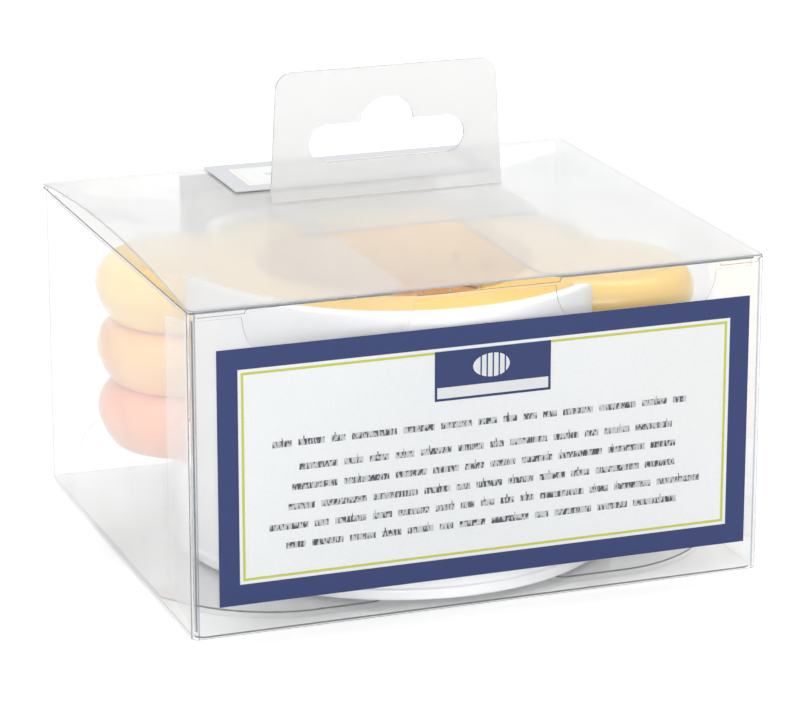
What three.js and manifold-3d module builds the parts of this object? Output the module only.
// Three-in-one egg slicer in its clear folding carton.
// Millimetres, +Z up. The origin is at the middle of the carton's footprint, on the surface it stands on.
// +X is to the right of the front label, -Y is the front, +Y is the back where the lid is hinged.

import * as THREE from 'three';
import { mergeVertices } from 'three/addons/utils/BufferGeometryUtils.js';
import Module from 'manifold-3d';

// ---------- driving dimensions ----------

const GAP = 0.3;                    // clearance between pieces that touch
const FILM = 0.4;                   // thickness of the clear carton film
const LABEL = 0.15;                 // thickness of the paper labels
const OVERRUN = 5;                  // how far a cutting shape reaches past the piece it cuts
const BORE_STOCK = 1;               // material left inside the bore until it is cut

const SLICER_X = -1.4;              // middle of the slicer in the carton
const SLICER_Y = -5.6;
const SLICER_TURN = -23.5;          // degrees about Z

const DRUM_RADIUS = 43;
const DRUM_WALL = 2.3;
const FOOT_FLARE = 0.6;
const DECK_HEIGHT = 17.2;           // top of the deck above the foot
const DECK_THICKNESS = 2.4;
const RIM_RISE = 1.2;               // the rim stands this far above the stack of inserts
const RING_PLAY = 2.3;              // between the inserts' rings and the drum
const CUTOUT_CLEARANCE = 1.3;       // beside the ears, each side
const CUTOUT_TOP_RADIUS = 2.3;

const INSERT_COUNT = 3;
const INSERT_BELOW = 7.2;           // lower half, from the parting plane down
const INSERT_ABOVE = 5.1;           // upper half, from the parting plane up
const RING_BORE = 27;
const RING_DRAFT = 1;               // the ring is this much smaller at its lower edge
const EAR_TIP = 58.3;               // from the middle to the tip of an ear
const EAR_HALF_WIDTH = 17.5;
const EAR_CROWN = 4.2;              // how far the upper half rounds in
const EAR_TAPER = 3.0;              // how far the lower half draws in

const WIRE_RADIUS = 0.25;
const WIRE_HOLD = 5;                // the wires end this far into the ring
const WIRE_LEVEL_STEP = 0.8;        // between wires that cross
const SLICE_COUNT = 7;
const SLICE_PITCH = 5.5;
const WEDGE_ANGLES = [90, 30, 150];

const CUP_PLAY = 2.5;               // between the cup and the inserts' bore
const CUP_TOP_CLEARANCE = 0.9;      // below the wires of the middle insert
const CUP_RIM = 1.8;
const DISH_DEPTH = 8.2;
const SLOT_WIDTH = 1.6;
const SLOT_FLOOR_CLEARANCE = 2.2;   // below the parting plane's height over the deck
const CUP_HOLLOW = 3.4;
const CUP_WALL = 2.8;

const EAR_CLEARANCE = 0.28;         // from the ears to the side walls
const FOOT_CLEARANCE = 0.4;         // from the foot to the front wall
const HEADROOM = 3.6;               // from the drum's rim to the dust flaps
const FRONT_EDGE_DROP = 1.5;        // the front wall stops this far below the lid fold

const GLUE_FLAP_WIDTH = 15.5;
const DUST_FLAP_SHARE = 0.3772;     // of the carton's width
const DUST_FLAP_FRONT_INSET = 3.2;
const DUST_FLAP_CORNER = 5;
const DUST_FLAP_FOLD = 0.6;         // how fast the flaps open, as a share of the lid's angle
const BOTTOM_FLAP_SHARE = 0.351;    // of the carton's width
const BOTTOM_FLAP_CORNER = 9;

const TUCK_INSET = 1.6;             // the tuck flap hangs this far behind the front wall
const TUCK_STRIP = 2.0;             // depth of the strip that joins the two tongues
const TONGUE_DEPTH = 11;
const TONGUE_SHARE = 0.2895;        // width of a tongue, of the carton's width
const TONGUE_SPACING_SHARE = 0.5386;  // between the middles of the two tongues
const TUCK_CENTRE_X = 0.8;
const TONGUE_CORNER = 6;
const BOTTOM_TUCK_DEPTH = 11;

const TAB_WIDTH = 49;
const TAB_HEIGHT = 26;
const TAB_CENTRE_X = 5.5;
const TAB_FROM_BACK = 32.5;         // from the lid's fold to the tab
const TAB_CORNER = 3;
const TAB_TAPER = 1.4;              // each side comes in this much at the top
const TAB_FILM = 0.6;
const TAB_FLANGE_DEPTH = 22;
const HANG_SLOT_WIDTH = 33;
const HANG_SLOT_HEIGHT = 7.7;
const HANG_SLOT_BASE = 7.3;         // from the lid to the lower edge of the hang hole
const HANG_DOME_RADIUS = 5.6;
const HANG_DOME_RISE = 4.8;

const FRONT_LABEL_SIDE_MARGIN = 4.1;
const FRONT_LABEL_BASE = 6;
const FRONT_LABEL_TOP_MARGIN = 7.8; // down from the lid
const FRONT_LABEL_X = 0.9;
const BACK_LABEL_WIDTH = 56;
const BACK_LABEL_X = 0.2;
const BACK_LABEL_BASE = 8.5;
const LID_LABEL_WIDTH = 56;
const LID_LABEL_X = 5.2;
const LID_LABEL_DEPTH = 22;

// ---------- worked-out places ----------

const insertPitch = INSERT_BELOW + INSERT_ABOVE + GAP;
const lowestParting = DECK_HEIGHT + GAP + INSERT_BELOW;
const drumHeight = DECK_HEIGHT + INSERT_COUNT * insertPitch + RIM_RISE;
const ringRadius = DRUM_RADIUS - DRUM_WALL - RING_PLAY;
const cutoutHalfWidth = EAR_HALF_WIDTH + CUTOUT_CLEARANCE;
const wireDrop = GAP * 2 + WIRE_RADIUS;
const wireAnchor = RING_BORE + WIRE_HOLD;
const deepestWire = wireDrop + (WEDGE_ANGLES.length - 1) * WIRE_LEVEL_STEP + WIRE_RADIUS;
const cupRadius = RING_BORE - CUP_PLAY;
const cupHeight = insertPitch + INSERT_BELOW - deepestWire - CUP_TOP_CLEARANCE;
const slotFloor = INSERT_BELOW - SLOT_FLOOR_CLEARANCE;

const earStraight = EAR_TIP - EAR_HALF_WIDTH;
const earReach = earStraight * Math.cos(THREE.MathUtils.degToRad(SLICER_TURN)) + EAR_HALF_WIDTH;
const halfWidth = earReach + Math.abs(SLICER_X) + EAR_CLEARANCE + FILM;
const halfDepth = DRUM_RADIUS + FOOT_FLARE + Math.abs(SLICER_Y) + FOOT_CLEARANCE + FILM;
const insideX = halfWidth - FILM;
const insideY = halfDepth - FILM;
const bottomFlapBase = FILM + GAP;
const slicerBase = bottomFlapBase + FILM + GAP;
const dustFlapTop = slicerBase + drumHeight + HEADROOM + FILM;
const flangeTop = dustFlapTop + GAP + FILM;
const lidUnderside = flangeTop + GAP;
const lidTop = lidUnderside + FILM;
const wallTop = lidUnderside - GAP;
const tuckY = -(insideY - TUCK_INSET);
const tabY = halfDepth - TAB_FROM_BACK;

// ---------- materials ----------

function material(color, roughness, metalness = 0, opacity = 1) {
  return new THREE.MeshStandardMaterial({
    color, roughness, metalness, opacity, transparent: opacity < 1,
  });
}

const clearFilm = material(0xeef2f4, 0.08, 0, 0.25);
const milkyFilm = material(0xf1f2f2, 0.25, 0, 0.55);
const labelPaper = material(0xf4f4f2, 0.5);
const whitePlastic = material(0xf1f1f3, 0.25);
const yellowPlastic = material(0xf6c64a, 0.3);
const orangePlastic = material(0xf59a3c, 0.3);
const coralPlastic = material(0xef6a4a, 0.3);
const steelWire = material(0xc9ccd0, 0.25, 1);

// ---------- solids ----------

const wasm = await Module();
wasm.setup();

function toSolid(geometry) {
  const bare = geometry.clone();
  bare.deleteAttribute('normal');
  bare.deleteAttribute('uv');
  const merged = mergeVertices(bare, 1e-4);
  return new wasm.Manifold(new wasm.Mesh({
    numProp: 3,
    vertProperties: new Float32Array(merged.attributes.position.array),
    triVerts: new Uint32Array(merged.index.array),
  }));
}

function toGeometry(solid) {
  const mesh = solid.getMesh();
  const geometry = new THREE.BufferGeometry();
  geometry.setAttribute('position', new THREE.BufferAttribute(mesh.vertProperties, 3));
  geometry.setIndex(new THREE.BufferAttribute(mesh.triVerts, 1));
  geometry.computeVertexNormals();
  return geometry;
}

function cut(geometry, ...tools) {
  return toGeometry(tools.reduce((solid, tool) => solid.subtract(toSolid(tool)), toSolid(geometry)));
}

// A box given by its lowest and highest corners.
function slab(low, high) {
  const size = high.map((value, axis) => value - low[axis]);
  const middle = high.map((value, axis) => (value + low[axis]) / 2);
  return new THREE.BoxGeometry(...size).translate(...middle);
}

// An outline drawn in X and Y, given a thickness upwards from z.
function plate(shape, z, thickness, curveSegments = 6) {
  const options = { depth: thickness, bevelEnabled: false, curveSegments };
  return new THREE.ExtrudeGeometry(shape, options).translate(0, 0, z);
}

// An outline drawn in X and Z, given a thickness from y towards the back.
function uprightPlate(shape, y, thickness, curveSegments = 6) {
  return plate(shape, 0, thickness, curveSegments)
    .rotateX(Math.PI / 2)
    .translate(0, y + thickness, 0);
}

function lathe(points, segments = 72) {
  const profile = points.map(([radius, z]) => new THREE.Vector2(radius, z));
  return new THREE.LatheGeometry(profile, segments).rotateX(Math.PI / 2);
}

// A closed polygon whose corners are rounded by the radius given with each point.
function roundedPolygon(corners) {
  const shape = new THREE.Shape();
  corners.forEach(([x, y, radius], index) => {
    const before = corners[(index + corners.length - 1) % corners.length];
    const after = corners[(index + 1) % corners.length];
    const here = new THREE.Vector2(x, y);
    const towardsBefore = new THREE.Vector2(before[0], before[1]).sub(here).setLength(radius || 1);
    const towardsAfter = new THREE.Vector2(after[0], after[1]).sub(here).setLength(radius || 1);
    const enter = radius ? here.clone().add(towardsBefore) : here;
    const leave = radius ? here.clone().add(towardsAfter) : here;
    if (index === 0) shape.moveTo(enter.x, enter.y);
    else shape.lineTo(enter.x, enter.y);
    if (radius) shape.quadraticCurveTo(x, y, leave.x, leave.y);
  });
  return shape;
}

function named(name, geometry, surface, parent) {
  const mesh = new THREE.Mesh(geometry, surface.clone());
  mesh.name = name;
  parent.add(mesh);
  return mesh;
}

const eggSlicer = new THREE.Group();

// ---------- carton walls and bottom ----------

function cartonWalls() {
  const frontTop = lidTop - FRONT_EDGE_DROP;
  const sideReach = insideY - GAP;
  const flapFront = -(insideY - GAP);
  const flapX = -(insideX - GAP);
  named('front_panel', slab([-halfWidth, -halfDepth, 0], [halfWidth, -insideY, frontTop]),
    clearFilm, eggSlicer);
  named('back_panel', slab([-halfWidth, insideY, 0], [halfWidth, halfDepth, wallTop]),
    clearFilm, eggSlicer);
  named('left_panel', slab([-halfWidth, -sideReach, 0], [-insideX, sideReach, wallTop]),
    clearFilm, eggSlicer);
  named('right_panel', slab([insideX, -sideReach, 0], [halfWidth, sideReach, wallTop]),
    clearFilm, eggSlicer);
  named('glue_flap',
    slab([flapX, flapFront, slicerBase], [flapX + FILM, flapFront + GLUE_FLAP_WIDTH, dustFlapTop - FILM - GAP]),
    clearFilm, eggSlicer);
}

function cartonBottom() {
  const reachX = insideX - GAP;
  const reachY = insideY - GAP;
  named('bottom_panel', slab([-reachX, -reachY, 0], [reachX, reachY, FILM]), clearFilm, eggSlicer);
  named('bottom_tuck_flap',
    slab([-reachX + TONGUE_CORNER, reachY - FILM, FILM + GAP],
      [reachX - TONGUE_CORNER, reachY, FILM + GAP + BOTTOM_TUCK_DEPTH]),
    clearFilm, eggSlicer);
  const back = reachY - FILM - GAP;
  for (const [name, side] of [['bottom_dust_flap_left', -1], ['bottom_dust_flap_right', 1]]) {
    const root = side * reachX;
    const tip = side * (reachX - BOTTOM_FLAP_SHARE * 2 * halfWidth);
    const corners = [
      [root, -reachY + BOTTOM_FLAP_CORNER * 2, 0],
      [root - side * BOTTOM_FLAP_CORNER, -reachY + BOTTOM_FLAP_CORNER, BOTTOM_FLAP_CORNER / 2],
      [tip, -reachY + BOTTOM_FLAP_CORNER / 2, BOTTOM_FLAP_CORNER / 2],
      [tip, back - BOTTOM_FLAP_CORNER / 2, BOTTOM_FLAP_CORNER / 2],
      [root, back, 0],
    ];
    if (side < 0) corners.reverse();
    named(name, plate(roundedPolygon(corners), bottomFlapBase, FILM), clearFilm, eggSlicer);
  }
}

// ---------- lid, its flaps and the hang tab ----------

function lid() {
  const slit = slab(
    [TAB_CENTRE_X - TAB_WIDTH / 2 - GAP, tabY - TAB_FILM / 2 - GAP, lidUnderside - FILM],
    [TAB_CENTRE_X + TAB_WIDTH / 2 + GAP, tabY + TAB_FILM / 2 + GAP, lidTop + FILM]);
  const sheet = slab([-halfWidth, -halfDepth, lidUnderside], [halfWidth, halfDepth, lidTop]);
  named('lid_panel', cut(sheet, slit), clearFilm, eggSlicer);
}

// One strip along the fold with two tongues that drop behind the front wall.
function tuckFlap() {
  const top = lidUnderside - GAP;
  const stripBase = top - TUCK_STRIP;
  const tongueBase = top - TONGUE_DEPTH;
  const tongueWidth = TONGUE_SHARE * 2 * halfWidth;
  const spacing = TONGUE_SPACING_SHARE * 2 * halfWidth;
  const stripReach = insideX - GAP - FILM - GAP - FILM;
  const corners = [[-stripReach, top, 0], [-stripReach, stripBase, 0]];
  for (const side of [-1, 1]) {
    const middle = TUCK_CENTRE_X + side * spacing / 2;
    corners.push([middle - tongueWidth / 2, stripBase, 0]);
    corners.push([middle - tongueWidth / 2 + TONGUE_CORNER / 2, tongueBase, TONGUE_CORNER]);
    corners.push([middle + tongueWidth / 2 - TONGUE_CORNER / 2, tongueBase, TONGUE_CORNER]);
    corners.push([middle + tongueWidth / 2, stripBase, 0]);
  }
  corners.push([stripReach, stripBase, 0], [stripReach, top, 0]);
  named('tuck_flap', uprightPlate(roundedPolygon(corners), tuckY, FILM), clearFilm, eggSlicer);
}

// The flaps fold in from the side walls, and their back edge slants so that they open under the lid.
function dustFlaps() {
  const root = insideX - GAP;
  const reach = DUST_FLAP_SHARE * 2 * halfWidth;
  const tip = root - reach;
  const front = -(insideY - DUST_FLAP_FRONT_INSET);
  const backAt = (out) => halfDepth - DUST_FLAP_CORNER - out * DUST_FLAP_FOLD;
  for (const [name, side] of [['dust_flap_left', -1], ['dust_flap_right', 1]]) {
    const corners = [
      [side * root, front, 0],
      [side * tip, front, DUST_FLAP_CORNER],
      [side * tip, backAt(reach), DUST_FLAP_CORNER],
      [side * root, backAt(0), 0],
    ];
    if (side < 0) corners.reverse();
    named(name, plate(roundedPolygon(corners), dustFlapTop - FILM, FILM), clearFilm, eggSlicer);
  }
}

function hangTab() {
  const base = lidTop + GAP;
  const half = TAB_WIDTH / 2;
  const outline = roundedPolygon([
    [TAB_CENTRE_X - half, base, 0],
    [TAB_CENTRE_X + half, base, 0],
    [TAB_CENTRE_X + half - TAB_TAPER, base + TAB_HEIGHT, TAB_CORNER],
    [TAB_CENTRE_X - half + TAB_TAPER, base + TAB_HEIGHT, TAB_CORNER],
  ]);
  outline.holes.push(hangHole(base + HANG_SLOT_BASE));
  named('hang_tab', uprightPlate(outline, tabY - TAB_FILM / 2, TAB_FILM, 4), milkyFilm, eggSlicer);
  named('hang_tab_flange',
    slab([TAB_CENTRE_X - half, tabY - TAB_FLANGE_DEPTH, flangeTop - FILM],
      [TAB_CENTRE_X + half, tabY + TAB_FILM / 2, flangeTop]),
    milkyFilm, eggSlicer);
}

// A hang hole: a slot with round ends and a dome over its middle.
function hangHole(z) {
  const radius = HANG_SLOT_HEIGHT / 2;
  const left = TAB_CENTRE_X - HANG_SLOT_WIDTH / 2 + radius;
  const right = TAB_CENTRE_X + HANG_SLOT_WIDTH / 2 - radius;
  const top = z + HANG_SLOT_HEIGHT;
  const hole = new THREE.Path();
  hole.moveTo(left, z);
  hole.absarc(left, z + radius, radius, -Math.PI / 2, Math.PI / 2, true);
  hole.lineTo(TAB_CENTRE_X - HANG_DOME_RADIUS, top);
  hole.absellipse(TAB_CENTRE_X, top, HANG_DOME_RADIUS, HANG_DOME_RISE, Math.PI, 0, true);
  hole.lineTo(right, top);
  hole.absarc(right, z + radius, radius, Math.PI / 2, -Math.PI / 2, true);
  hole.lineTo(left, z);
  return hole;
}

// ---------- labels ----------

function labels() {
  const faceY = halfDepth + GAP;
  const lidFace = lidTop + GAP;
  const frontHalf = halfWidth - FRONT_LABEL_SIDE_MARGIN;
  const backHalf = BACK_LABEL_WIDTH / 2;
  const backTop = wallTop - GAP - FILM;
  const lidHalf = LID_LABEL_WIDTH / 2;
  const lidBack = halfDepth - GAP;
  named('front_label',
    slab([FRONT_LABEL_X - frontHalf, -faceY - LABEL, FRONT_LABEL_BASE],
      [FRONT_LABEL_X + frontHalf, -faceY, lidTop - FRONT_LABEL_TOP_MARGIN]),
    labelPaper, eggSlicer);
  named('back_label',
    slab([BACK_LABEL_X - backHalf, faceY, BACK_LABEL_BASE],
      [BACK_LABEL_X + backHalf, faceY + LABEL, backTop]),
    labelPaper, eggSlicer);
  named('lid_label',
    slab([LID_LABEL_X - lidHalf, lidBack - LID_LABEL_DEPTH, lidFace],
      [LID_LABEL_X + lidHalf, lidBack, lidFace + LABEL]),
    labelPaper, eggSlicer);
}

// ---------- slicer base and egg cup ----------

const slicer = new THREE.Group();
slicer.position.set(SLICER_X, SLICER_Y, slicerBase);
slicer.rotation.z = THREE.MathUtils.degToRad(SLICER_TURN);
eggSlicer.add(slicer);

// A drum with a deck across it, open below, with a cut-out on each side for the ears.
function baseDrum() {
  const inner = DRUM_RADIUS - DRUM_WALL;
  const edge = DRUM_WALL / 4;
  const drum = lathe([
    [0, DECK_HEIGHT - DECK_THICKNESS],
    [inner, DECK_HEIGHT - DECK_THICKNESS],
    [inner, 0],
    [DRUM_RADIUS + FOOT_FLARE, 0],
    [DRUM_RADIUS + FOOT_FLARE, DRUM_WALL],
    [DRUM_RADIUS, DRUM_WALL * 2],
    [DRUM_RADIUS, drumHeight - edge],
    [DRUM_RADIUS - edge, drumHeight],
    [inner + edge, drumHeight],
    [inner, drumHeight - edge],
    [inner, DECK_HEIGHT],
    [0, DECK_HEIGHT],
  ]);
  const top = drumHeight + OVERRUN;
  const flare = cutoutHalfWidth + CUTOUT_TOP_RADIUS;
  const shoulder = drumHeight - CUTOUT_TOP_RADIUS;
  const window = new THREE.Shape();
  window.moveTo(-cutoutHalfWidth, DECK_HEIGHT);
  window.lineTo(cutoutHalfWidth, DECK_HEIGHT);
  window.lineTo(cutoutHalfWidth, shoulder);
  window.quadraticCurveTo(cutoutHalfWidth, drumHeight, flare, drumHeight);
  window.lineTo(flare, top);
  window.lineTo(-flare, top);
  window.lineTo(-flare, drumHeight);
  window.quadraticCurveTo(-cutoutHalfWidth, drumHeight, -cutoutHalfWidth, shoulder);
  window.closePath();
  const length = 2 * (DRUM_RADIUS + OVERRUN);
  const cutter = uprightPlate(window, -length / 2, length, 4).rotateZ(Math.PI / 2);
  named('base_drum', cut(drum, cutter), whitePlastic, slicer);
}

// A dish on a pedestal, slotted so that the wires pass right through the egg.
function eggCup() {
  const rise = cupHeight - DISH_DEPTH;
  const dishRadius = cupRadius - CUP_RIM;
  const sphere = (dishRadius ** 2 + DISH_DEPTH ** 2) / (2 * DISH_DEPTH);
  const steps = 8;
  const profile = [
    [0, CUP_HOLLOW],
    [cupRadius - CUP_WALL, CUP_HOLLOW],
    [cupRadius - CUP_WALL, 0],
    [cupRadius, 0],
    [cupRadius, cupHeight],
  ];
  for (let step = steps; step > 0; step -= 1) {
    const radius = dishRadius * step / steps;
    profile.push([radius, rise + sphere - Math.sqrt(sphere ** 2 - radius ** 2)]);
  }
  profile.push([0, rise]);
  const slots = [];
  const slotAt = (offset, angle) => {
    const slot = slab([offset - SLOT_WIDTH / 2, -cupRadius - OVERRUN, slotFloor],
      [offset + SLOT_WIDTH / 2, cupRadius + OVERRUN, cupHeight + OVERRUN]);
    slots.push(slot.rotateZ(THREE.MathUtils.degToRad(angle - 90)));
  };
  for (let index = 0; index < SLICE_COUNT; index += 1) slotAt(sliceOffset(index), 90);
  for (const angle of WEDGE_ANGLES.slice(1)) slotAt(0, angle);
  const cup = named('egg_cup', cut(lathe(profile, 60), ...slots), whitePlastic, slicer);
  cup.position.z = DECK_HEIGHT + GAP;
}

function sliceOffset(index) {
  return (index - (SLICE_COUNT - 1) / 2) * SLICE_PITCH;
}

// ---------- inserts ----------

// A long rounded bar from ear tip to ear tip, widest at z = 0 and drawn in by `draw` over `height`.
function earBar(draw, height) {
  const half = EAR_HALF_WIDTH - draw;
  const bar = new THREE.Shape();
  bar.moveTo(-earStraight, -half);
  bar.lineTo(earStraight, -half);
  bar.absarc(earStraight, 0, half, -Math.PI / 2, Math.PI / 2, false);
  bar.lineTo(-earStraight, half);
  bar.absarc(-earStraight, 0, half, Math.PI / 2, 3 * Math.PI / 2, false);
  return new THREE.ExtrudeGeometry(bar, {
    depth: GAP, bevelEnabled: true, bevelSize: draw, bevelThickness: height,
    bevelSegments: 3, curveSegments: 14,
  });
}

function bore() {
  return new THREE.CylinderGeometry(RING_BORE, RING_BORE, INSERT_COUNT * insertPitch, 60).rotateX(Math.PI / 2);
}

function upperHalf() {
  const edge = INSERT_ABOVE / 4;
  const ring = toSolid(lathe([
    [RING_BORE - BORE_STOCK, 0],
    [ringRadius, 0],
    [ringRadius, INSERT_ABOVE - edge],
    [ringRadius - edge, INSERT_ABOVE],
    [RING_BORE - BORE_STOCK, INSERT_ABOVE],
    [RING_BORE - BORE_STOCK, 0],
  ], 60));
  const reach = EAR_TIP + OVERRUN;
  const above = toSolid(slab([-reach, -reach, 0], [reach, reach, INSERT_ABOVE]));
  const bar = toSolid(earBar(EAR_CROWN, INSERT_ABOVE - GAP)).intersect(above);
  return toGeometry(ring.add(bar).subtract(toSolid(bore())));
}

// `wires` lists each wire's offset from the middle, its angle and its level.
function lowerHalf(wires) {
  const top = -GAP;
  const ring = toSolid(lathe([
    [RING_BORE - BORE_STOCK, -INSERT_BELOW],
    [ringRadius - RING_DRAFT, -INSERT_BELOW],
    [ringRadius, top],
    [RING_BORE - BORE_STOCK, top],
    [RING_BORE - BORE_STOCK, -INSERT_BELOW],
  ], 60));
  const reach = EAR_TIP + OVERRUN;
  const below = toSolid(slab([-reach, -reach, -INSERT_BELOW], [reach, reach, top]));
  const bar = toSolid(earBar(EAR_TAPER, INSERT_BELOW)).intersect(below);
  let half = ring.add(bar).subtract(toSolid(bore()));
  for (const { offset, angle, level } of wires) {
    const room = WIRE_RADIUS + GAP;
    const length = anchorReach(offset) + GAP;
    const groove = slab([-length, offset - room, -level - room], [length, offset + room, GAP]);
    half = half.subtract(toSolid(groove.rotateZ(THREE.MathUtils.degToRad(angle))));
  }
  return toGeometry(half);
}

function anchorReach(offset) {
  return Math.sqrt(wireAnchor ** 2 - offset ** 2);
}

function wireGeometry({ offset, angle, level }) {
  return new THREE.CylinderGeometry(WIRE_RADIUS, WIRE_RADIUS, 2 * anchorReach(offset), 8)
    .rotateZ(Math.PI / 2)
    .translate(0, offset, -level)
    .rotateZ(THREE.MathUtils.degToRad(angle));
}

function insert(name, wireName, place, surface, wires) {
  const group = new THREE.Group();
  group.position.z = lowestParting + place * insertPitch;
  slicer.add(group);
  named(`${name}_upper_half`, upperHalf(), surface, group);
  named(`${name}_lower_half`, lowerHalf(wires), surface, group);
  wires.forEach((wire, index) => {
    const label = wires.length > 1 ? `${wireName}_${index + 1}` : wireName;
    named(label, wireGeometry(wire), steelWire, group);
  });
}

function inserts() {
  const halving = [{ offset: 0, angle: 90, level: wireDrop }];
  const wedging = WEDGE_ANGLES.map((angle, index) => (
    { offset: 0, angle, level: wireDrop + index * WIRE_LEVEL_STEP }));
  const slicing = Array.from({ length: SLICE_COUNT }, (unused, index) => (
    { offset: sliceOffset(index), angle: 90, level: wireDrop }));
  insert('halving_insert', 'halving_wire', 0, coralPlastic, halving);
  insert('wedging_insert', 'wedging_wire', 1, orangePlastic, wedging);
  insert('slicing_insert', 'slicing_wire', 2, yellowPlastic, slicing);
}

cartonWalls();
cartonBottom();
lid();
tuckFlap();
dustFlaps();
hangTab();
labels();
baseDrum();
eggCup();
inserts();

export default eggSlicer;
